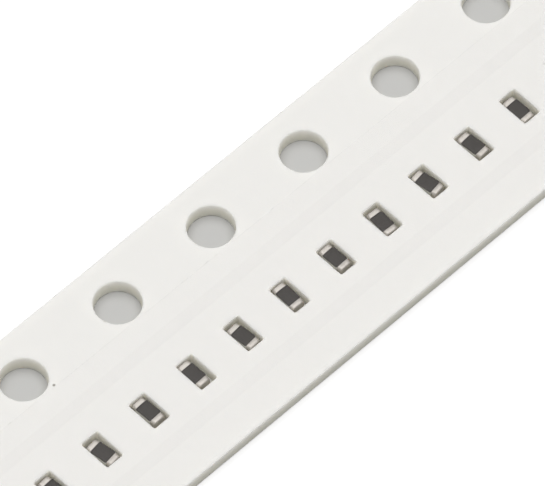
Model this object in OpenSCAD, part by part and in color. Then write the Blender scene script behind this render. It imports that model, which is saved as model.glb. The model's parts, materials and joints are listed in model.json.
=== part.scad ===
// Strip of 8 mm punched paper carrier tape with loose chip resistors in its pockets.
// X runs along the tape, +Y points to the sprocket holes, +Z points up out of the pockets.
// The origin is the bottom centre of the strip. Lengths are in millimetres.

/* [Carrier tape] */
// Number of sprocket-hole pitches in the strip
pitch_count = 7; // [1:1:7]
// Distance between neighbouring sprocket holes
hole_pitch = 4; // [3.9:0.05:4.1]
// Diameter of the sprocket holes
hole_diameter = 1.55; // [1.5:0.01:1.6]
// Distance from the sprocket holes' line to the edge beside it
hole_to_edge = 1.55; // [1.4:0.05:1.85]
// Distance from the sprocket holes' line to the pockets' line
hole_to_pocket = 3.5; // [3.45:0.01:3.6]
// Distance from the pockets' line to the edge beside it
pocket_to_edge = 2.75; // [2.7:0.05:3]
// Thickness of the paper
paper_thickness = 0.5; // [0.46:0.01:0.7]

/* [Pockets] */
// Number of pockets to each sprocket-hole pitch
pockets_per_pitch = 2; // [1:1:2]
// Size of a pocket along the tape
pocket_width = 0.67; // [0.62:0.01:0.75]
// Size of a pocket across the tape
pocket_length = 1.17; // [1.12:0.01:1.3]
// Radius of a pocket's corners
pocket_corner_radius = 0.05; // [0.02:0.01:0.08]

/* [Cover tapes] */
// Width of the clear tape over the pockets
top_cover_width = 5.25; // [4.8:0.05:5.35]
// Thickness of the clear tape over the pockets
top_cover_thickness = 0.05; // [0.04:0.01:0.07]
// Width of the thin tape under the pockets
bottom_cover_width = 5.25; // [4.8:0.05:5.35]
// Thickness of the thin tape under the pockets
bottom_cover_thickness = 0.05; // [0.04:0.01:0.08]
// Width of each heat-sealed track in the clear tape
seal_width = 0.5; // [0.3:0.05:0.7]
// Distance between the middles of the two sealed tracks
seal_spacing = 3; // [2.6:0.1:3.6]
// How far the pair of tracks sits towards the sprocket holes
seal_offset = 0.15; // [-0.2:0.05:0.3]
// Depth to which the sealing iron pressed the tracks
seal_depth = 0.015; // [0.005:0.005:0.02]

/* [Chip resistor] */
// Length of a chip, across the tape
chip_length = 1; // [0.95:0.01:1.05]
// Width of a chip, along the tape
chip_width = 0.5; // [0.45:0.01:0.55]
// Height of a chip to the top of its terminations
chip_height = 0.4; // [0.3:0.01:0.4]
// Thickness of the metal round a chip's ends
plating_thickness = 0.02; // [0.015:0.005:0.03]
// Length of a termination on the top face
termination_length = 0.19; // [0.15:0.01:0.25]
// Length of a termination's pad on the bottom face
pad_length = 0.25; // [0.2:0.01:0.3]
// Radius of a termination's rounded edges
termination_edge_radius = 0.05; // [0.03:0.005:0.05]
// Thickness of the dark overcoat at its middle
overcoat_thickness = 0.032; // [0.02:0.002:0.04]
// Height of the overcoat's crown above its long edges
overcoat_crown = 0.01; // [0.004:0.001:0.015]
// How far the overcoat stops short of the chip's sides
overcoat_margin = 0; // [0:0.005:0.04]
// Radius of the overcoat's corners
overcoat_corner_radius = 0.03; // [0.01:0.005:0.05]

/* [Lie of the chips] */
// Play that is kept between a chip and its pocket
lie_clearance = 0.006; // [0.002:0.001:0.01]

/* [Hidden] */
// How each chip lies in its pocket: its share of the free play along the tape,
// of the free play across the tape, and of the furthest turn that the pocket allows.
CHIP_LIES = [
  [0.3, 0.2, -0.3],
  [0.1, 0.4, 0.4],
  [-0.95, -0.95, 0.85],
  [0.25, 0.95, 0.25],
  [-0.95, 0.85, 0.1],
  [-0.5, -0.35, 0.55],
  [-0.2, 0.95, -0.15],
  [0.15, 0.95, 0.2],
  [-0.5, -0.25, -0.4],
  [-0.95, 0.7, 0.95],
  [0.15, 0.6, 0.45],
  [-0.95, -0.2, 0.1],
  [0.2, 0.7, -0.2],
  [-0.3, 0.3, 0.5]
];
CHIP_PIECES = ["substrate", "overcoat", "left_termination", "right_termination"];

strip_length = pitch_count * hole_pitch;
strip_width = hole_to_edge + hole_to_pocket + pocket_to_edge;
hole_line_y = strip_width / 2 - hole_to_edge;
pocket_line_y = hole_line_y - hole_to_pocket;
pocket_pitch = hole_pitch / pockets_per_pitch;
pocket_count = pitch_count * pockets_per_pitch;
// The strip is cut square, half a pocket pitch beyond its outermost pockets.
first_x = (pocket_pitch - strip_length) / 2;
paper_z = bottom_cover_thickness;
top_cover_z = paper_z + paper_thickness;
substrate_top = chip_height - plating_thickness;
furthest_turn = asin((pocket_width - chip_width - 2 * lie_clearance) / chip_length);
// Cuts run this far past the faces that they open.
past = 0.1;
$fn = 64;

function chip_node(i, piece) = str("chip_", i < 9 ? "0" : "", i + 1, "_", piece);
function pocket_x(i) = first_x + i * pocket_pitch;
function hole_x(i) = first_x + i * hole_pitch;

// Free play of a chip turned by the given angle, each way along and across the tape
function play_along(turn) =
  (pocket_width - chip_width * cos(turn) - chip_length * abs(sin(turn))) / 2 - lie_clearance;
function play_across(turn) =
  (pocket_length - chip_length * cos(turn) - chip_width * abs(sin(turn))) / 2 - lie_clearance;

// Rectangle centred on the origin, with true round corners
module rounded_rectangle(size_x, size_y, radius) {
  square([size_x - 2 * radius, size_y], center = true);
  square([size_x, size_y - 2 * radius], center = true);
  for (x = [-1, 1])
    for (y = [-1, 1])
      translate([x * (size_x / 2 - radius), y * (size_y / 2 - radius)])
        circle(radius);
}

// Block centred on the origin, with every edge rounded
module rounded_block(size_x, size_y, size_z, radius) {
  intersection() {
    linear_extrude(size_z, center = true)
      rounded_rectangle(size_x, size_y, radius);
    rotate([90, 0, 0])
      linear_extrude(size_y, center = true)
        rounded_rectangle(size_x, size_z, radius);
    rotate([90, 0, 90])
      linear_extrude(size_x, center = true)
        rounded_rectangle(size_y, size_z, radius);
  }
}

module carrier_tape() {
  color([0.93, 0.92, 0.9])
    difference() {
      translate([-strip_length / 2, -strip_width / 2, paper_z])
        cube([strip_length, strip_width, paper_thickness]);
      for (i = [0:pitch_count - 1])
        translate([hole_x(i), hole_line_y, paper_z - past])
          cylinder(h = paper_thickness + 2 * past, d = hole_diameter);
      for (i = [0:pocket_count - 1])
        translate([pocket_x(i), pocket_line_y, paper_z - past])
          linear_extrude(paper_thickness + 2 * past)
            rounded_rectangle(pocket_width, pocket_length, pocket_corner_radius);
    }
}

module bottom_cover_tape() {
  color([0.96, 0.96, 0.94])
    translate([-strip_length / 2, pocket_line_y - bottom_cover_width / 2, 0])
      cube([strip_length, bottom_cover_width, bottom_cover_thickness]);
}

// Clear film, pressed down along the two tracks where it is sealed to the paper
module top_cover_tape() {
  color([0.95, 0.97, 1, 0.25])
    difference() {
      translate([-strip_length / 2, pocket_line_y - top_cover_width / 2, top_cover_z])
        cube([strip_length, top_cover_width, top_cover_thickness]);
      for (side = [-1, 1])
        translate([
          -strip_length / 2 - past,
          pocket_line_y + seal_offset + side * seal_spacing / 2 - seal_width / 2,
          top_cover_z + top_cover_thickness - seal_depth
        ])
          cube([strip_length + 2 * past, seal_width, seal_depth + past]);
    }
}

// The chip's pieces stand on the origin, with the chip's length along Y.

// Ceramic as wide as the chip between the terminations, and thinner by the plating inside them
module substrate_block() {
  coat_length = chip_length - 2 * termination_length;
  for (size = [
    [chip_width - 2 * plating_thickness, chip_length - 2 * plating_thickness],
    [chip_width, coat_length]
  ])
    translate([-size[0] / 2, -size[1] / 2, plating_thickness])
      cube([size[0], size[1], substrate_top - plating_thickness]);
}

module substrate() {
  color([0.95, 0.95, 0.92])
    substrate_block();
}

// Printed glaze between the terminations, crowned across its width
module overcoat() {
  coat_width = chip_width - 2 * overcoat_margin;
  coat_length = chip_length - 2 * termination_length;
  crown_radius = (pow(coat_width / 2, 2) + pow(overcoat_crown, 2)) / (2 * overcoat_crown);
  color([0.27, 0.25, 0.24])
    translate([0, 0, substrate_top])
      intersection() {
        linear_extrude(overcoat_thickness + past)
          rounded_rectangle(coat_width, coat_length, overcoat_corner_radius);
        translate([0, 0, overcoat_thickness - crown_radius])
          rotate([90, 0, 0])
            cylinder(h = coat_length + 2 * past, r = crown_radius, center = true, $fn = 256);
      }
}

// Metal cap that wraps one end of the substrate, longer underneath, where it is soldered
module termination(side) {
  color([0.8, 0.78, 0.76])
    mirror([0, side > 0 ? 0 : 1, 0])
      difference() {
        intersection() {
          translate([0, 0, chip_height / 2])
            rounded_block(chip_width, chip_length, chip_height, termination_edge_radius);
          union() {
            translate([-chip_width / 2 - past, chip_length / 2 - termination_length, -past])
              cube([chip_width + 2 * past, termination_length + past, chip_height + 2 * past]);
            translate([-chip_width / 2 - past, chip_length / 2 - pad_length, -past])
              cube([chip_width + 2 * past, pad_length + past, plating_thickness + past]);
          }
        }
        substrate_block();
      }
}

// Puts a chip's piece where chip i lies: on the bottom cover tape, within its pocket's play
module in_pocket(i) {
  turn = CHIP_LIES[i][2] * furthest_turn;
  translate([
    pocket_x(i) + CHIP_LIES[i][0] * play_along(turn),
    pocket_line_y + CHIP_LIES[i][1] * play_across(turn),
    bottom_cover_thickness
  ])
    rotate([0, 0, turn])
      children();
}

carrier_tape();
bottom_cover_tape();
top_cover_tape();
for (i = [0:pocket_count - 1]) {
  in_pocket(i) substrate();
  in_pocket(i) overcoat();
  in_pocket(i) termination(1);
  in_pocket(i) termination(-1);
}
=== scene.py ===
import json
import math

import bpy
from mathutils import Matrix, Quaternion, Vector


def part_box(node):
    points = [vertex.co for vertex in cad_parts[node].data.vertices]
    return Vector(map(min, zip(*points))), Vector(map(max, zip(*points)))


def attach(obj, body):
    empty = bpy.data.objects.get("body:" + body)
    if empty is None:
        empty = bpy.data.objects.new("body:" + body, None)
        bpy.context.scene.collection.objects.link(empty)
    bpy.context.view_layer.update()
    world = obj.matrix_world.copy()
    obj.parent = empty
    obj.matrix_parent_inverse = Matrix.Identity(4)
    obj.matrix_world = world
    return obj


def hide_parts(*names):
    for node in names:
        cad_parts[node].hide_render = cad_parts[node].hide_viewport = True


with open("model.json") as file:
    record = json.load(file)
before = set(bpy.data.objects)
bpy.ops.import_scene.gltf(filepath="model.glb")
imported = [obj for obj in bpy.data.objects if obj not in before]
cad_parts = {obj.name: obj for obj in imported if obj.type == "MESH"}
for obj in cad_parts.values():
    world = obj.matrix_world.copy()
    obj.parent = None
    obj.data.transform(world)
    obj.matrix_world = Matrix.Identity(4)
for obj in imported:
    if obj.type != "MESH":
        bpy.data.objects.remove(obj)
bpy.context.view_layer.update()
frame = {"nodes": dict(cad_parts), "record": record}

mm = 0.001  # metres in a millimetre; pieces are modelled in millimetres and scaled at the end
collection = bpy.context.scene.collection


class Field:
    # wraps an output socket, so that an expression on it adds its Math nodes
    def __init__(self, nodes, socket):
        self.nodes = nodes
        self.socket = socket

    def maths(self, operation, *others):
        return self.nodes.maths(operation, self, *others)

    def also(self, name):
        return Field(self.nodes, self.nodes.find(self.socket.node.outputs, name))

    def __add__(self, other):
        return self.maths("ADD", other)

    def __sub__(self, other):
        return self.maths("SUBTRACT", other)

    def __mul__(self, other):
        return self.maths("MULTIPLY", other)

    def __truediv__(self, other):
        return self.maths("DIVIDE", other)

    def __radd__(self, other):
        return self.nodes.maths("ADD", other, self)

    def __rsub__(self, other):
        return self.nodes.maths("SUBTRACT", other, self)

    def __rmul__(self, other):
        return self.nodes.maths("MULTIPLY", other, self)

    def step(self, low, high, start=0.0, end=1.0):
        # eases from start to end as the value goes from low to high
        return self.nodes.add(
            "ShaderNodeMapRange",
            {"interpolation_type": "SMOOTHSTEP"},
            {"Value": self, "From Min": low, "From Max": high, "To Min": start, "To Max": end},
        )


class Nodes:
    # adds nodes to one tree
    def __init__(self, tree):
        self.tree = tree

    def find(self, sockets, key):
        if isinstance(key, int):
            return sockets[key]
        for socket in sockets:
            if socket.identifier == key:
                return socket
        return next(s for s in sockets if s.name == key and s.enabled)

    def feed(self, socket, value):
        if isinstance(value, (list, tuple)) and isinstance(value[0], Field):
            for one in value:
                self.tree.links.new(one.socket, socket)
        elif isinstance(value, Field):
            self.tree.links.new(value.socket, socket)
        else:
            socket.default_value = value

    # a node's type, its settings, its sockets' values or links, and the output that is wanted
    def add(self, kind, settings=None, sockets=None, out=0):
        node = self.tree.nodes.new(kind)
        for name, value in (settings or {}).items():
            setattr(node, name, value)
        for key, value in (sockets or {}).items():
            self.feed(self.find(node.inputs, key), value)
        return Field(self, self.find(node.outputs, out)) if len(node.outputs) else node

    def maths(self, operation, *values):
        return self.add("ShaderNodeMath", {"operation": operation}, dict(enumerate(values)))

    def vector(self, operation, *values):
        return self.add(
            "ShaderNodeVectorMath", {"operation": operation}, dict(enumerate(values))
        )

    def scaled(self, vector, amount):
        return self.add(
            "ShaderNodeVectorMath", {"operation": "SCALE"}, {0: vector, "Scale": amount}
        )

    def combine(self, x=0.0, y=0.0, z=0.0):
        return self.add("ShaderNodeCombineXYZ", None, {0: x, 1: y, 2: z})

    def split(self, vector):
        x = self.add("ShaderNodeSeparateXYZ", None, {0: vector})
        return x, x.also("Y"), x.also("Z")

    def blend(self, amount, first, second):
        return self.add(
            "ShaderNodeMix",
            {"data_type": "RGBA"},
            {"Factor_Float": amount, "A_Color": first, "B_Color": second},
            "Result_Color",
        )

    def noise(self, vector, scale, detail=2.0, roughness=0.5, seed=0.0):
        return self.add(
            "ShaderNodeTexNoise",
            {"noise_dimensions": "4D"},
            {"Vector": vector, "Scale": scale, "Detail": detail, "Roughness": roughness, "W": seed},
        )


def srgb(red, green, blue):
    # a colour as it shows on a screen, 0 to 255, as the linear colour that a shader takes
    linear = [
        c / 12.92 if c < 0.04045 else ((c + 0.055) / 1.055) ** 2.4
        for c in (red / 255, green / 255, blue / 255)
    ]
    return (*linear, 1.0)


def link(thing):
    collection.objects.link(thing)
    return thing


def meshObject(name, points, faces):
    mesh = bpy.data.meshes.new(name)
    mesh.from_pydata(points, [], faces)
    mesh.update()
    return link(bpy.data.objects.new(name, mesh))


# a tree with a named input for each size, run on a start mesh: returns a plain mesh object
def runTree(name, build, sizes, start=None):
    tree = bpy.data.node_groups.new(name + "Tree", "GeometryNodeTree")
    tree.interface.new_socket("Start", in_out="INPUT", socket_type="NodeSocketGeometry")
    socketIds = {}
    for label, value in sizes.items():
        kind = {float: "Float", int: "Int", str: "String"}.get(type(value))
        if kind is None:
            kind = "Material" if isinstance(value, bpy.types.Material) else "Object"
        socket = tree.interface.new_socket(label, in_out="INPUT", socket_type="NodeSocket" + kind)
        socketIds[label] = socket.identifier
    tree.interface.new_socket("Result", in_out="OUTPUT", socket_type="NodeSocketGeometry")

    nodes = Nodes(tree)
    entry = nodes.add("NodeGroupInput")
    inputs = {label: entry.also(label) for label in ["Start", *sizes]}
    nodes.add("NodeGroupOutput", None, {0: build(nodes, inputs)})

    holder = link(bpy.data.objects.new(name + "Holder", start or bpy.data.meshes.new(name + "Start")))
    modifier = holder.modifiers.new("build", "NODES")
    modifier.node_group = tree
    for label, value in sizes.items():
        modifier[socketIds[label]] = value
    graph = bpy.context.evaluated_depsgraph_get()
    mesh = bpy.data.meshes.new_from_object(holder.evaluated_get(graph), depsgraph=graph)
    mesh.name = name
    bpy.data.objects.remove(holder)
    print("made", name, "with", len(mesh.polygons), "faces")
    return link(bpy.data.objects.new(name, mesh))


def newMaterial(name):
    material = bpy.data.materials.new(name)
    material.use_nodes = True
    material.node_tree.nodes.clear()
    return material, Nodes(material.node_tree)


def finishMaterial(nodes, shader):
    nodes.add("ShaderNodeOutputMaterial", None, {"Surface": shader})


def objectPlace(nodes):
    # the place on the piece, in millimetres
    return nodes.scaled(nodes.add("ShaderNodeTexCoord", None, None, "Object"), 1 / mm)


def bump(nodes, height, depth):
    # height runs from 0 to 1 and stands for this many millimetres
    return nodes.add("ShaderNodeBump", None, {"Distance": depth * mm, "Height": height})


paperLow, paperHigh = [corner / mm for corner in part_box("carrier_tape")]
filmLow, filmHigh = [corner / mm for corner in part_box("top_cover_tape")]
holeMounts = [m for m in frame["record"]["mounts"] if m["kind"] == "bore"]
holePlaces = [Vector(m["pos_m"]) / mm for m in holeMounts]
holeRadius = holeMounts[0]["dims"]["r_mm"]
holePitch = holePlaces[1].x - holePlaces[0].x
pocketLineY = (filmLow.y + filmHigh.y) / 2
chipCount = len([n for n in frame["nodes"] if n.endswith("_substrate")])


def chipNode(number, piece):
    return f"chip_{number:02d}_{piece}"


paperLook = {
    "face": srgb(237, 236, 233),
    "core": srgb(230, 228, 217),  # the board's yellower middle on the punched and cut walls, with painted shade that darkens them toward their foot
    "cloudSize": 1.6,  # mm, soft clouds in the board
    "cloudAmount": 0.012,
    "fibreSize": 0.09,  # mm
    "fibreDepth": 0.0016,  # mm
    "streaks": (14.0, 14.0, 3.0),  # per mm, fibres drawn out down a cut wall
    "streakHeight": 1.5,  # times fibreDepth
    "roughness": 0.62,
    "roughnessSpread": 0.12,
    "specular": 0.3,
    "scatter": (0.45, 0.43, 0.38),  # mm, how far light runs inside the board
    "speckHole": 1,  # a small fleck of dirt lies beside this sprocket hole
    "speckOffset": (0.53, -0.8),  # mm, from the hole's middle
    "speckSize": 0.05,
    "speckColour": srgb(150, 146, 138),
}


def makePaper():
    material, nodes = newMaterial("paperBoard")
    look = paperLook
    place = objectPlace(nodes)
    x, y, z = nodes.split(place)
    cloud = nodes.noise(place, 1 / look["cloudSize"], 3.0, 0.6) - 0.5
    fibre = nodes.noise(place, 1 / look["fibreSize"], 4.0, 0.65, 2.0)
    shade = 1 + cloud * look["cloudAmount"] * 2 + (fibre - 0.5) * look["cloudAmount"]
    cut = nodes.add("ShaderNodeAttribute", {"attribute_name": "cut"}, None, "Fac")
    streaks = nodes.noise(nodes.vector("MULTIPLY", place, look["streaks"]), 1.0, 3.0, 0.6, 5.0)
    # cut walls turn toward the core colour with depth: the board's yellower middle, plus painted
    # shade toward the wall's foot
    colour = nodes.blend(cut, look["face"], look["core"])
    hole = holePlaces[look["speckHole"]]
    across = (x - (hole.x + look["speckOffset"][0])).maths("POWER", 2)
    along = (y - (hole.y + look["speckOffset"][1])).maths("POWER", 2)
    reach = (across + along).maths("SQRT") + (fibre - 0.5) * look["speckSize"]
    speck = reach.step(look["speckSize"] * 0.4, look["speckSize"] * 1.3, 1.0, 0.0)
    colour = nodes.blend(speck * (1 - cut), colour, look["speckColour"])
    colour = nodes.scaled(colour, shade)
    rough = look["roughness"] + (fibre - 0.5) * look["roughnessSpread"]
    height = fibre * (1 - cut * 0.5) + streaks * cut * look["streakHeight"]
    shader = nodes.add("ShaderNodeBsdfPrincipled", {"subsurface_method": "BURLEY"}, {
        "Base Color": colour,
        "Roughness": rough,
        "Specular IOR Level": look["specular"],
        "Subsurface Weight": 1.0,
        "Subsurface Radius": look["scatter"],
        "Subsurface Scale": mm,
        "Normal": bump(nodes, height, look["fibreDepth"]),
    })
    finishMaterial(nodes, shader)
    return material


filmLook = {
    "tint": srgb(213, 209, 212),
    "haze": 0.009,  # at each face of the film
    "trackHaze": 0.021,  # where the film is sealed to the board
    "gloss": 0.25,  # share of the haze that is a mirror
    "roughness": 0.16,
    "trackRoughness": 0.4,
    "glance": 0.06,  # how much more of it shows at a glancing angle
    "drift": (0.25, 3.0, 1.0),  # per mm, slow changes drawn out along the tape
    "grain": 9.0,  # per mm
    "bumpDepth": 0.001,  # mm
}
sealedTracks = {
    "trackOffset": 0.15,  # mm, the middle of the pair of tracks from the pockets' line
    "trackSpacing": 3.0,
    "trackWidth": 0.5,
    "trackSoftness": 0.06,
}


def trackMask(nodes, fromPockets, track):
    # 1 on the two sealed tracks, easing to 0 at their edges
    fromMiddle = (fromPockets - track["trackOffset"]).maths("ABSOLUTE")
    fromTrack = (fromMiddle - track["trackSpacing"] / 2).maths("ABSOLUTE")
    half = track["trackWidth"] / 2
    return fromTrack.step(half - track["trackSoftness"], half, 1.0, 0.0)


def makeClearFilm():
    material, nodes = newMaterial("clearFilm")
    look = filmLook
    place = objectPlace(nodes)
    x, y, z = nodes.split(place)
    track = trackMask(nodes, y - pocketLineY, sealedTracks)
    drift = nodes.noise(nodes.vector("MULTIPLY", place, look["drift"]), 1.0, 2.0, 0.5)
    grain = nodes.noise(place, look["grain"], 3.0, 0.6, 3.0)
    glance = nodes.add("ShaderNodeLayerWeight", None, {"Blend": 0.25}, "Fresnel")
    haze = look["haze"] + track * (look["trackHaze"] - look["haze"]) * (0.7 + grain * 0.6)
    alpha = haze * (0.85 + drift * 0.3) + glance * look["glance"]
    shader = nodes.add("ShaderNodeBsdfPrincipled", None, {
        "Base Color": look["tint"],
        "Metallic": look["gloss"],
        "Roughness": look["roughness"] + track * (look["trackRoughness"] - look["roughness"]),
        "Alpha": alpha,
        "Normal": bump(nodes, drift + track * grain * 0.4, look["bumpDepth"]),
    })
    finishMaterial(nodes, shader)
    return material


liningLook = {
    "colour": srgb(228, 228, 222),
    "dull": srgb(220, 219, 212),
    "roughness": 0.45,
    "roughnessSpread": 0.1,
    "grain": 6.0,  # per mm
    "creases": (0.3, 5.0, 1.0),  # per mm, drawn out along the tape
    "creaseDepth": 0.002,  # mm
}


def makeBottomFilm():
    material, nodes = newMaterial("bottomFilm")
    look = liningLook
    place = objectPlace(nodes)
    grain = nodes.noise(place, look["grain"], 4.0, 0.6)
    creases = nodes.noise(nodes.vector("MULTIPLY", place, look["creases"]), 1.0, 3.0, 0.5, 1.0)
    shader = nodes.add("ShaderNodeBsdfPrincipled", None, {
        "Base Color": nodes.blend(creases, look["colour"], look["dull"]),
        "Roughness": look["roughness"] + grain * look["roughnessSpread"],
        "Normal": bump(nodes, grain + creases, look["creaseDepth"]),
    })
    finishMaterial(nodes, shader)
    return material


ceramicLook = {
    "colour": srgb(238, 238, 232),
    "dull": srgb(220, 219, 210),
    "grainSize": 0.02,  # mm
    "grainDepth": 0.001,
    "roughness": 0.55,
    "roughnessSpread": 0.1,
}


def makeCeramic():
    material, nodes = newMaterial("alumina")
    look = ceramicLook
    grain = nodes.noise(objectPlace(nodes), 1 / look["grainSize"], 3.0, 0.6)
    shader = nodes.add("ShaderNodeBsdfPrincipled", None, {
        "Base Color": nodes.blend(grain, look["colour"], look["dull"]),
        "Roughness": look["roughness"] + grain * look["roughnessSpread"],
        "Normal": bump(nodes, grain, look["grainDepth"]),
    })
    finishMaterial(nodes, shader)
    return material


overcoatLook = {
    "dark": srgb(37, 33, 29),
    "light": srgb(54, 49, 43),
    "rippleSize": 0.08,  # mm
    "rippleDepth": 0.0015,
    "grain": 60.0,  # per mm
    "roughness": 0.5,
    "roughnessSpread": 0.12,
}


def makeOvercoat():
    material, nodes = newMaterial("firedGlaze")
    look = overcoatLook
    place = objectPlace(nodes)
    ripple = nodes.noise(place, 1 / look["rippleSize"], 3.0, 0.55)
    grain = nodes.noise(place, look["grain"], 2.0, 0.5, 4.0)
    shader = nodes.add("ShaderNodeBsdfPrincipled", None, {
        "Base Color": nodes.blend(ripple, look["dark"], look["light"]),
        "Roughness": look["roughness"] + grain * look["roughnessSpread"],
        "Normal": bump(nodes, ripple + grain * 0.3, look["rippleDepth"]),
    })
    finishMaterial(nodes, shader)
    return material


tinLook = {
    "colour": srgb(200, 195, 189),
    "dull": srgb(184, 179, 173),
    "grainSize": 0.018,  # mm
    "grainDepth": 0.0012,
    "clouds": 7.0,  # per mm
    "metallic": 0.75,
    "roughness": 0.42,
    "roughnessSpread": 0.2,
}


def makeTin():
    material, nodes = newMaterial("matteTin")
    look = tinLook
    place = objectPlace(nodes)
    grain = nodes.noise(place, 1 / look["grainSize"], 3.0, 0.6)
    cloud = nodes.noise(place, look["clouds"], 2.0, 0.5, 6.0)
    shader = nodes.add("ShaderNodeBsdfPrincipled", None, {
        "Base Color": nodes.blend(cloud, look["colour"], look["dull"]),
        "Metallic": look["metallic"],
        "Roughness": look["roughness"] + grain * look["roughnessSpread"],
        "Normal": bump(nodes, grain, look["grainDepth"]),
    })
    finishMaterial(nodes, shader)
    return material


carrierTape = {
    "pocketWidth": 0.67,  # mm, along the tape
    "pocketLength": 1.17,  # across the tape
    "pocketCorner": 0.05,
    "cornerSteps": 8,
    "topRim": 0.04,  # how far the punch drew the upper face down into a hole
    "coreStart": 0.01,  # below the upper face, where the board's middle and the painted shade on the cut walls begin to show
    "coreDepth": 0.4,  # and where they show fully
    "bottomRim": 0.012,
    "holeBurr": 0.047,  # the lip of pushed-out fibres under a sprocket hole
    "holeTaper": 0.03,  # how much narrower a sprocket hole's radius is at the lower face
    "burrFullness": 0.35,  # a lower power rounds the lip out more
    "burrSteps": 6,
    "wallStep": 0.02,  # between the wall's points round a pocket
    "edgeStep": 0.1,  # between the wall's points along the outer edges
    "holeSteps": 144,
    "wallLevels": 15,
    "wallRoughness": 0.012,  # torn fibres on the punched walls
    "wallClear": 0.08,  # from each face, over which they fade out
    "mergeDistance": 0.0005,
}


def wallSection(nodes, size, bottomRim, burr, taper):
    # a wall from the upper face to the lower one, with a round rim at each, or a burr below
    count = size["wallLevels"] + size["burrSteps"]
    step = nodes.add("GeometryNodeInputIndex")
    share = (step / (size["wallLevels"] - 1)).maths("MINIMUM", 1.0)
    down = (1 - (share * math.pi).maths("COSINE")) / 2 * size["thickness"]
    underHalf = share.maths("GREATER_THAN", 0.5)
    rim = size["topRim"] + underHalf * (bottomRim - size["topRim"])
    fromFace = down.maths("MINIMUM", size["thickness"] - down)
    rise = (rim - fromFace).maths("MAXIMUM", 0.0)
    inset = rim - (rim * rim - rise * rise).maths("MAXIMUM", 0.0).maths("SQRT")
    bead = ((step - (size["wallLevels"] - 1)) / size["burrSteps"]).maths("MAXIMUM", 0.0) * math.pi
    inset = inset + (1 - bead.maths("COSINE")) * burr - down / size["thickness"] * taper
    bulge = bead.maths("SINE").maths("MAXIMUM", 0.0).maths("POWER", size["burrFullness"])
    down = down + bulge * burr
    section = nodes.add("GeometryNodeSetPosition", None, {
        0: nodes.add("GeometryNodeMeshLine", None, {"Count": count}),
        "Position": nodes.combine(inset * -1, down - size["thickness"]),
    })
    return nodes.add("GeometryNodeMeshToCurve", None, {0: section})


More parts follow.
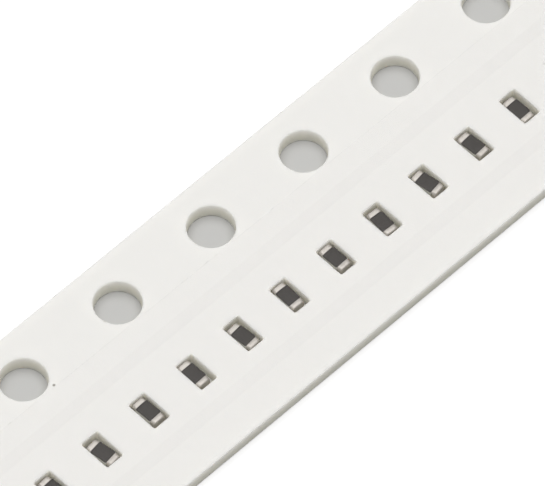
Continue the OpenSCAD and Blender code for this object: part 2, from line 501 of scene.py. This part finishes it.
def buildCarrier(nodes, size):
    # the outlines: the strip itself, the sprocket holes and the pockets
    strip = nodes.add("GeometryNodeCurvePrimitiveQuadrilateral", None, {
        "Width": size["tapeLength"], "Height": size["tapeWidth"],
    })
    strip = nodes.add("GeometryNodeResampleCurve", {"mode": "LENGTH"}, {
        "Curve": strip, "Length": size["edgeStep"],
    })
    hole = nodes.add("GeometryNodeCurvePrimitiveCircle", None, {
        "Resolution": size["holeSteps"], "Radius": size["holeRadius"],
    })
    holeRow = nodes.add("GeometryNodeMeshLine", None, {
        "Count": size["holeCount"],
        "Start Location": nodes.combine(size["firstHoleX"], size["holeLineY"]),
        "Offset": nodes.combine(size["holePitch"]),
    })
    pocket = nodes.add("GeometryNodeCurvePrimitiveQuadrilateral", None, {
        "Width": size["pocketWidth"], "Height": size["pocketLength"],
    })
    pocket = nodes.add("GeometryNodeFilletCurve", {"mode": "POLY"}, {
        "Curve": pocket, "Count": size["cornerSteps"], "Radius": size["pocketCorner"],
    })
    pocket = nodes.add("GeometryNodeResampleCurve", {"mode": "LENGTH"}, {
        "Curve": pocket, "Length": size["wallStep"],
    })
    pocketRow = nodes.add("GeometryNodeMeshLine", None, {
        "Count": size["pocketCount"],
        "Start Location": nodes.combine(size["firstPocketX"], size["pocketLineY"]),
        "Offset": nodes.combine(size["pocketPitch"]),
    })
    # openings run the other way round, so that the paper is on the same side of every outline
    holes, pockets = [
        nodes.add("GeometryNodeReverseCurve", None, {
            0: nodes.add("GeometryNodeRealizeInstances", None, {
                0: nodes.add("GeometryNodeInstanceOnPoints", None, {
                    "Points": row, "Instance": shape,
                }),
            }),
        })
        for row, shape in [(holeRow, hole), (pocketRow, pocket)]
    ]
    strip, pockets, holes = [
        nodes.add("GeometryNodeSetCurveNormal", {"mode": "Z_UP"}, {0: outline})
        for outline in (strip, pockets, holes)
    ]
    # each outline, its lower rim, its burr, its taper and how far in the lower face begins
    holeReach = size["holeBurr"] * 2 - size["holeTaper"]
    outlines = [
        (strip, size["bottomRim"], 0.0, 0.0, size["bottomRim"]),
        (pockets, size["bottomRim"], 0.0, 0.0, size["bottomRim"]),
        (holes, 0.0, size["holeBurr"], size["holeTaper"], holeReach),
    ]

    walls = nodes.add("GeometryNodeJoinGeometry", None, {0: [
        nodes.add("GeometryNodeCurveToMesh", None, {
            "Curve": outline, "Profile Curve": wallSection(nodes, size, bottomRim, burr, taper),
        })
        for outline, bottomRim, burr, taper, reach in outlines
    ]})

    # torn fibres: the walls are rough between their rims, always into the board
    place = nodes.add("GeometryNodeInputPosition")
    height = nodes.split(place)[2]
    clear = height.maths("MINIMUM", size["thickness"] - height).step(0.0, size["wallClear"])
    streaks = nodes.noise(nodes.vector("MULTIPLY", place, (1.0, 1.0, 0.25)), 11.0, 3.0, 0.6)
    push = nodes.scaled(
        nodes.add("GeometryNodeInputNormal"), streaks * clear * size["wallRoughness"] * -1
    )
    walls = nodes.add("GeometryNodeSetPosition", None, {0: walls, "Offset": push})
    # how far down a cut wall each point lies; the paper there turns to the board's middle and to
    # painted shade with it
    walls = nodes.add("GeometryNodeStoreNamedAttribute", {"domain": "POINT"}, {
        0: walls, "Name": "cut",
        "Value": height.step(
            size["thickness"] - size["coreStart"], size["thickness"] - size["coreDepth"]
        ),
    })

    # the two faces, filled between the outlines where their rims begin
    curveNormal = nodes.add("GeometryNodeInputNormal")
    upper = nodes.add("GeometryNodeJoinGeometry", None, {0: [
        nodes.add("GeometryNodeSetPosition", None, {
            0: outline, "Offset": nodes.scaled(curveNormal, size["topRim"] * -1),
        })
        for outline in (strip, pockets, holes)
    ]})
    lower = nodes.add("GeometryNodeJoinGeometry", None, {0: [
        nodes.add("GeometryNodeSetPosition", None, {
            0: outline, "Offset": nodes.scaled(curveNormal, reach * -1),
        })
        for outline, bottomRim, burr, taper, reach in outlines
    ]})
    upper = nodes.add("GeometryNodeFillCurve", {"mode": "TRIANGLES"}, {0: upper})
    upper = nodes.add("GeometryNodeTransform", None, {
        0: upper, "Translation": nodes.combine(0.0, 0.0, size["thickness"]),
    })
    lower = nodes.add("GeometryNodeFillCurve", {"mode": "TRIANGLES"}, {0: lower})
    lower = nodes.add("GeometryNodeFlipFaces", None, {0: lower})
    faces = nodes.add("GeometryNodeJoinGeometry", None, {0: [upper, lower]})
    faces = nodes.add("GeometryNodeSetShadeSmooth", None, {0: faces, "Shade Smooth": False})
    walls = nodes.add("GeometryNodeSetShadeSmooth", None, {0: walls, "Shade Smooth": True})
    board = nodes.add("GeometryNodeJoinGeometry", None, {0: [faces, walls]})
    board = nodes.add("GeometryNodeMergeByDistance", None, {
        0: board, "Distance": size["mergeDistance"],
    })
    board = nodes.add("GeometryNodeTransform", None, {
        0: board, "Translation": nodes.combine(0.0, 0.0, size["lift"]),
    })
    board = nodes.add("GeometryNodeTransform", None, {0: board, "Scale": (mm, mm, mm)})
    board = nodes.add("GeometryNodeRealizeInstances", None, {0: board})
    return nodes.add("GeometryNodeSetMaterial", None, {0: board, "Material": size["paper"]})


def makeCarrier():
    pocketPitch = (paperHigh.x - paperLow.x) / chipCount
    sizes = {
        "tapeLength": paperHigh.x - paperLow.x,
        "tapeWidth": paperHigh.y - paperLow.y,
        "thickness": paperHigh.z - paperLow.z,
        "lift": paperLow.z,
        "holeCount": len(holePlaces),
        "holeRadius": holeRadius,
        "holePitch": holePitch,
        "firstHoleX": holePlaces[0].x,
        "holeLineY": holePlaces[0].y,
        "pocketCount": chipCount,
        "pocketPitch": pocketPitch,
        "firstPocketX": paperLow.x + pocketPitch / 2,
        "pocketLineY": pocketLineY,
        **carrierTape,
        "paper": makePaper(),
    }
    return runTree("punched_carrier", buildCarrier, sizes)


carrier = makeCarrier()
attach(carrier, "root")
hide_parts("carrier_tape")


topFilm = {
    "clearance": 0.002,  # mm, half above and half below, so that faces that meet are apart
    "columnStep": 0.2,  # between points along the tape
    "rowStep": 0.05,  # between points across it
    "edgeEase": 0.008,  # how far the slit edges fall
    "edgeWidth": 0.03,  # and over what width
    "ripple": 0.002,  # how far the film is drawn down between its tracks
    "trackDepth": 0.015,  # how far the sealed tracks are pressed in
}
bottomFilm = {
    "clearance": 0.002,
    "columnStep": 0.4,
    "rowStep": 0.35,
    "edgeEase": 0.004,
    "edgeWidth": 0.03,
    "ripple": 0.0,
    "trackDepth": 0.0,
}


def buildFilm(nodes, size):
    sheet = nodes.add("GeometryNodeMeshGrid", None, {
        "Size X": size["length"], "Size Y": size["width"],
        "Vertices X": size["columns"], "Vertices Y": size["rows"],
    })
    under = nodes.add("GeometryNodeFlipFaces", None, {0: sheet})
    raised = nodes.add("GeometryNodeExtrudeMesh", {"mode": "FACES"}, {
        "Mesh": sheet, "Offset": (0.0, 0.0, 1.0), "Offset Scale": size["thickness"],
        "Individual": False,
    })
    place = nodes.add("GeometryNodeInputPosition")
    x, y, z = nodes.split(place)
    onTop = z.maths("GREATER_THAN", size["thickness"] / 2)
    track = trackMask(nodes, y, size)
    halfWidth = size["width"] / 2
    edge = y.maths("ABSOLUTE").step(halfWidth - size["edgeWidth"], halfWidth)
    ripple = nodes.noise(nodes.vector("MULTIPLY", place, (0.4, 1.0, 0.0)), 1.2, 2.0)
    fall = track * size["trackDepth"] + edge * size["edgeEase"] + ripple * size["ripple"]
    raised = nodes.add("GeometryNodeSetPosition", None, {
        0: raised, "Selection": onTop, "Offset": nodes.combine(0.0, 0.0, fall * -1),
    })
    film = nodes.add("GeometryNodeJoinGeometry", None, {0: [under, raised]})
    film = nodes.add("GeometryNodeMergeByDistance", None, {
        0: film, "Distance": size["mergeDistance"],
    })
    film = nodes.add("GeometryNodeTransform", None, {
        0: film, "Translation": nodes.combine(size["middleX"], size["middleY"], size["lift"]),
    })
    film = nodes.add("GeometryNodeTransform", None, {0: film, "Scale": (mm, mm, mm)})
    film = nodes.add("GeometryNodeSetShadeSmooth", None, {0: film, "Shade Smooth": False})
    film = nodes.add("GeometryNodeRealizeInstances", None, {0: film})
    return nodes.add("GeometryNodeSetMaterial", None, {0: film, "Material": size["film"]})


def makeFilm(name, node, shape, material):
    low, high = [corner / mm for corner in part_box(node)]
    sizes = {
        "length": high.x - low.x,
        "width": high.y - low.y,
        "thickness": high.z - low.z - shape["clearance"],
        "middleX": (low.x + high.x) / 2,
        "middleY": (low.y + high.y) / 2,
        "lift": low.z + shape["clearance"] / 2,
        "columns": round((high.x - low.x) / shape["columnStep"]) + 1,
        "rows": round((high.y - low.y) / shape["rowStep"]) + 1,
        "mergeDistance": 0.0002,
        **{key: shape[key] for key in ("edgeEase", "edgeWidth", "ripple", "trackDepth")},
        **sealedTracks,
        "film": material,
    }
    return runTree(name, buildFilm, sizes)


cover = makeFilm("clear_cover_film", "top_cover_tape", topFilm, makeClearFilm())
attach(cover, "root")
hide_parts("top_cover_tape")

lining = makeFilm("lower_cover_film", "bottom_cover_tape", bottomFilm, makeBottomFilm())
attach(lining, "root")
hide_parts("bottom_cover_tape")


chipShape = {
    "endRadius": 0.045,  # mm, round edges at a termination's outer end
    "sideRadius": 0.09,  # round edges along its sides, where the metal stops
    "cornerRadius": 0.13,  # the same edges at its outer end
    "shell": 0.045,  # thickness of the metal outside the ceramic that runs on inside it
    "lipRadius": 0.008,  # round edge where the metal stops
    "crown": 0.012,  # how far the metal swells over the middle of its top
    "metalRoughness": 0.003,
    "coatRadius": 0.03,  # corners of the dark coat
    "coatCrown": 0.01,
    "coatRoughness": 0.003,
    "play": 0.005,  # kept between the metal and that ceramic
    "faceInset": 0.05,  # from the ceramic's edges, where its flat upper face begins
    "snapRadius": 0.006,  # worn edges of the ceramic
    "snapRoughness": 0.004,
    "wanderScale": 14.0,  # per mm, how closely the surfaces wander
}


def chipLie(number):
    # a chip's middle and its turn, from the two ends of its ceramic
    points = [v.co / mm for v in frame["nodes"][chipNode(number, "substrate")].data.vertices]
    middle = sum(points, Vector()) / len(points)
    farEnd = [p for p in points if p.y > middle.y]
    toEnd = sum(farEnd, Vector()) / len(farEnd) - middle
    return Vector((middle.x, middle.y, 0.0)), math.atan2(-toEnd.x, toEnd.y)


def ownBox(number, piece):
    # a node's corners in its chip's own axes
    middle, turn = chipLie(number)
    spin = Matrix.Rotation(-turn, 3, "Z")
    points = [
        spin @ (v.co / mm - middle)
        for v in frame["nodes"][chipNode(number, piece)].data.vertices
    ]
    low = Vector([min(p[axis] for p in points) for axis in range(3)])
    high = Vector([max(p[axis] for p in points) for axis in range(3)])
    return low, high


def roundedRing(low, high, radius, cornerSteps=6, sideSteps=6):
    # points round a rectangle with round corners, counter-clockwise from its right side
    corners = [
        (high[0] - radius, high[1] - radius, 0),
        (low[0] + radius, high[1] - radius, 90),
        (low[0] + radius, low[1] + radius, 180),
        (high[0] - radius, low[1] + radius, 270),
    ]
    points = []
    for x, y, start in corners:
        arc = []
        for k in range(cornerSteps + 1):
            angle = math.radians(start + 90 * k / cornerSteps)
            arc.append((x + radius * math.cos(angle), y + radius * math.sin(angle)))
        points.append(arc)
    ring = []
    for arc, following in zip(points, points[1:] + points[:1]):
        ring += arc
        ax, ay = arc[-1]
        bx, by = following[0]
        ring += [
            (ax + (bx - ax) * k / sideSteps, ay + (by - ay) * k / sideSteps)
            for k in range(1, sideSteps)
        ]
    return ring


def loft(rings):
    # a closed skin over rings of equal count, with a flat face at each end
    count = len(rings[0])
    faces = [tuple(range(count))[::-1]]
    for level in range(len(rings) - 1):
        start = level * count
        for k in range(count):
            after = (k + 1) % count
            faces.append((start + k, start + after, start + count + after, start + count + k))
    faces.append(tuple(range((len(rings) - 1) * count, len(rings) * count)))
    return [point for ring in rings for point in ring], faces


def quarter(radius, steps):
    # steps along a quarter turn: how far on, and how far in
    for k in range(steps + 1):
        angle = math.radians(90 * k / steps)
        yield radius * math.sin(angle), radius * (1 - math.cos(angle))


def coatEnd():
    # the dark coat ends where the terminations' tops begin
    return ownBox(1, "overcoat")[1].y


def terminationRings():
    # from the floor of the cap's hollow, out over its lip and round its outer end
    low, high = ownBox(1, "left_termination")
    skin = ownBox(1, "substrate")[0].z - low.z
    topLip = coatEnd()
    padReach = topLip - low.y
    shape = chipShape
    shell = shape["shell"]

    def ring(y, inset, inner=False, lip=False):
        along = max(0.0, (y - topLip) / (high.y - topLip))
        side = shape["sideRadius"] + (shape["cornerRadius"] - shape["sideRadius"]) * along
        radius = shape["snapRadius"] if inner else side
        points = []
        for x, z in roundedRing(
            (low.x + inset, low.z + inset), (high.x - inset, high.z - inset), radius
        ):
            place = y
            if lip:
                # the pad underneath reaches further along the chip
                share = min(1.0, max(0.0, (low.z + 1.6 * skin - z) / skin))
                place -= padReach * share * share * (3 - 2 * share)
            if not inner and z > high.z - side - inset:
                swell = math.sin(math.pi * (y - topLip) / (high.y - topLip))
                z += shape["crown"] * max(0.0, swell) * (1 - (x / high.x) ** 2)
            points.append((x, place, z))
        return points

    lip = shape["lipRadius"]
    rings = [ring(high.y - shell, shell, inner=True), ring(topLip, shell, inner=True, lip=True)]
    rings += [ring(topLip + out, lip - on, lip=True) for on, out in quarter(lip, 3)]
    straight = high.y - shape["endRadius"] - topLip
    rings += [ring(topLip + straight * share, 0.0) for share in (0.3, 0.55, 0.8)]
    rings += [
        ring(high.y - shape["endRadius"] + on, out)
        for on, out in quarter(shape["endRadius"], 6)
    ]
    # seen from its outer end the outline runs the other way, so that faces point outwards
    return [points[::-1] for points in rings]


def makeTerminationPattern():
    points, faces = loft(terminationRings())
    count = len(points)
    # the other end is the same cap turned half round
    points += [(-x, -y, z) for x, y, z in points]
    faces += [tuple(k + count for k in face) for face in faces]
    return meshObject("terminationPattern", points, faces)


def makeCoatPattern():
    low, high = ownBox(1, "overcoat")
    shape = chipShape
    rise = high.z - low.z
    # the coat's edge stands up steeply and rolls over into a low crown
    rolls = [(0.0, 0.0), (0.002, 0.35), (0.008, 0.62), (0.02, 0.82), (0.04, 0.93), (0.07, 1.0)]
    rolls += [(inset, 1.0) for inset in (0.11, 0.15, 0.19)]
    rings = []
    for inset, share in rolls:
        radius = max(shape["coatRadius"] - inset, 0.006)
        ring = []
        for x, y in roundedRing(
            (low.x + inset, low.y + inset), (high.x - inset, high.y - inset), radius
        ):
            top = rise - shape["coatCrown"] * (x / high.x) ** 2
            ring.append((x, y, low.z + top * share))
        rings.append(ring)
    return meshObject("coatPattern", *loft(rings))


def makeCeramicPattern():
    # a block between the terminations, and a slimmer one that runs on inside them
    low, high = ownBox(1, "substrate")
    shape = chipShape
    edge = shape["snapRadius"]
    points, faces = [], []
    inside = shape["shell"] + shape["play"]
    capLow, capHigh = ownBox(1, "left_termination")
    for inX, inZ, end in [
        (0.0, 0.0, coatEnd()),
        (inside, capLow.z + inside - low.z, capHigh.y - inside),
    ]:
        bottom, top = low.z + inZ, high.z - inZ
        levels = [(bottom + edge - on, out) for on, out in quarter(edge, 2)][::-1]
        levels += [(bottom + (top - bottom) * share, 0.0) for share in (0.25, 0.5, 0.75)]
        levels += [(top - edge + on, out) for on, out in quarter(edge, 2)]
        levels.append((top, shape["faceInset"]))
        rings = []
        for z, inset in levels:
            reachX, reachY = high.x - inX - inset, end - inset
            flat = roundedRing((-reachX, -reachY), (reachX, reachY), edge, 3, 12)
            rings.append([(x, y, z) for x, y in flat])
        morePoints, moreFaces = loft(rings)
        faces += [tuple(k + len(points) for k in face) for face in moreFaces]
        points += morePoints
    return meshObject("ceramicPattern", points, faces)


def chipStart():
    # one point for each chip, with its turn
    lies = [chipLie(number) for number in range(1, chipCount + 1)]
    mesh = bpy.data.meshes.new("chipPlaces")
    mesh.from_pydata([middle for middle, turn in lies], [], [])
    turns = mesh.attributes.new("turn", "FLOAT", "POINT")
    turns.data.foreach_set("value", [turn for middle, turn in lies])
    return mesh


def buildChips(nodes, size):
    turn = nodes.add("GeometryNodeInputNamedAttribute", {"data_type": "FLOAT"}, {"Name": "turn"})
    pattern = nodes.add("GeometryNodeObjectInfo", None, {"Object": size["pattern"]}, "Geometry")
    chips = nodes.add("GeometryNodeInstanceOnPoints", None, {
        "Points": size["Start"],
        "Instance": pattern,
        "Rotation": nodes.combine(0.0, 0.0, turn),
    })
    chips = nodes.add("GeometryNodeRealizeInstances", None, {0: chips})
    # no two are alike: the surface wanders a little, differently in every place
    place = nodes.add("GeometryNodeInputPosition")
    wander = nodes.noise(place, size["wanderScale"], 2.0, 0.5) - 0.5
    chips = nodes.add("GeometryNodeSetPosition", None, {
        0: chips,
        "Offset": nodes.scaled(nodes.add("GeometryNodeInputNormal"), wander * size["roughness"]),
    })
    chips = nodes.add("GeometryNodeTransform", None, {0: chips, "Scale": (mm, mm, mm)})
    chips = nodes.add("GeometryNodeSetShadeSmooth", None, {0: chips, "Shade Smooth": True})
    chips = nodes.add("GeometryNodeRealizeInstances", None, {0: chips})
    return nodes.add("GeometryNodeSetMaterial", None, {0: chips, "Material": size["finish"]})


def makeChips(name, pattern, finish, roughness, pieces):
    sizes = {
        "pattern": pattern,
        "roughness": roughness,
        "wanderScale": chipShape["wanderScale"],
        "finish": finish,
    }
    chips = runTree(name, buildChips, sizes, chipStart())
    bpy.data.objects.remove(pattern)
    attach(chips, "root")
    numbers = range(1, chipCount + 1)
    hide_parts(*[chipNode(number, piece) for number in numbers for piece in pieces])


makeChips(
    "resistor_ceramics", makeCeramicPattern(), makeCeramic(), chipShape["snapRoughness"],
    ["substrate"],
)
makeChips(
    "resistor_overcoats", makeCoatPattern(), makeOvercoat(), chipShape["coatRoughness"],
    ["overcoat"],
)
makeChips(
    "resistor_terminations", makeTerminationPattern(), makeTin(), chipShape["metalRoughness"],
    ["left_termination", "right_termination"],
)


camera = {
    "target": (-0.062, 1.73, 0.004),  # mm, from the middle of the pockets' line on the upper face
    "azimuth": -43.69,  # degrees, round from the side that faces -Y
    "elevation": 57.35,
    "distance": 319.9,  # mm
    "roll": -0.512,
    "lens": 682.4,
}


def towards(azimuth, elevation):
    # the direction from the strip to a place round it
    around = math.radians(azimuth)
    above = math.radians(elevation)
    return Vector((
        math.sin(around) * math.cos(above), -math.cos(around) * math.cos(above), math.sin(above)
    ))


def placeCamera():
    data = bpy.data.cameras.new("camera")
    data.lens = camera["lens"]
    data.sensor_width = 36.0
    data.clip_start = 0.01
    data.clip_end = 10.0
    eye = link(bpy.data.objects.new("camera", data))
    back = towards(camera["azimuth"], camera["elevation"])
    target = Vector((0.0, pocketLineY, paperHigh.z)) + Vector(camera["target"])
    eye.location = (target + back * camera["distance"]) * mm
    turn = (-back).to_track_quat("-Z", "Y") @ Quaternion((0, 0, 1), math.radians(camera["roll"]))
    eye.rotation_euler = turn.to_euler()
    bpy.context.scene.camera = eye


light = {
    "sky": 0.377,
    "skyColour": (1.0, 1.0, 1.0, 1.0),
    "keyAzimuth": 136.0,  # degrees, behind the strip as the camera sees it
    "keyElevation": 84.0,
    "keyDistance": 0.5,  # m
    "keySize": 0.55,
    "keyPower": 2.171,
    "keyColour": (1.0, 0.995, 0.985),
}


def placeLight():
    world = bpy.data.worlds.new("studio")
    bpy.context.scene.world = world
    world.use_nodes = True
    sky = world.node_tree.nodes["Background"]
    sky.inputs["Color"].default_value = light["skyColour"]
    sky.inputs["Strength"].default_value = light["sky"]
    data = bpy.data.lights.new("softbox", "AREA")
    data.shape = "SQUARE"
    data.size = light["keySize"]
    data.energy = light["keyPower"]
    data.color = light["keyColour"]
    softbox = link(bpy.data.objects.new("softbox", data))
    away = towards(light["keyAzimuth"], light["keyElevation"])
    softbox.location = away * light["keyDistance"]
    softbox.rotation_euler = (-away).to_track_quat("-Z", "Y").to_euler()


floor = {
    "size": 6.0,  # m
    # painted shade seen under the strip, and the floor's colour in the light that it gives back
    "tone": srgb(196, 196, 195),
    "roughness": 0.9,
    "white": 0.62,  # how bright the floor round the strip is before any light falls on it
    "shade": 0.45,  # how much of the light and shade shows there
    "fade": 0.2,  # mm, from the strip's edge inwards, over which the painted shade fades in
}


def makeFloor():
    # painted shade: where the camera sees the floor under the strip, through the holes, it is grey;
    # the light the floor gives back is grey everywhere; round the strip it is seen as white
    material, nodes = newMaterial("paleFloor")
    place = objectPlace(nodes)
    x, y, z = nodes.split(place)
    inX = x.maths("ABSOLUTE").step(paperHigh.x - floor["fade"], paperHigh.x, 1.0, 0.0)
    inY = y.maths("ABSOLUTE").step(paperHigh.y - floor["fade"], paperHigh.y, 1.0, 0.0)
    grey = nodes.add("ShaderNodeBsdfPrincipled", None, {
        "Base Color": floor["tone"], "Roughness": floor["roughness"], "Specular IOR Level": 0.0,
    })
    shade = floor["shade"]
    white = nodes.add("ShaderNodeBsdfPrincipled", None, {
        "Base Color": (shade, shade, shade, 1.0),
        "Roughness": floor["roughness"],
        "Specular IOR Level": 0.0,
        "Emission Color": (1.0, 1.0, 1.0, 1.0),
        "Emission Strength": floor["white"],
    })
    seen = nodes.add("ShaderNodeLightPath", None, None, "Is Camera Ray")
    # camera rays round the strip see the white, camera rays under the strip see the grey painted
    # shade, and all other rays see the grey
    shader = nodes.add("ShaderNodeMixShader", None, {0: seen * (1 - inX * inY), 1: grey, 2: white})
    finishMaterial(nodes, shader)
    half = floor["size"] / 2
    sheet = meshObject(
        "floor", [(-half, -half, 0), (half, -half, 0), (half, half, 0), (-half, half, 0)],
        [(0, 1, 2, 3)],
    )
    sheet.data.materials.append(material)


placeCamera()
placeLight()
makeFloor()
view = bpy.context.scene.view_settings
view.view_transform = "Standard"
print("stage set")
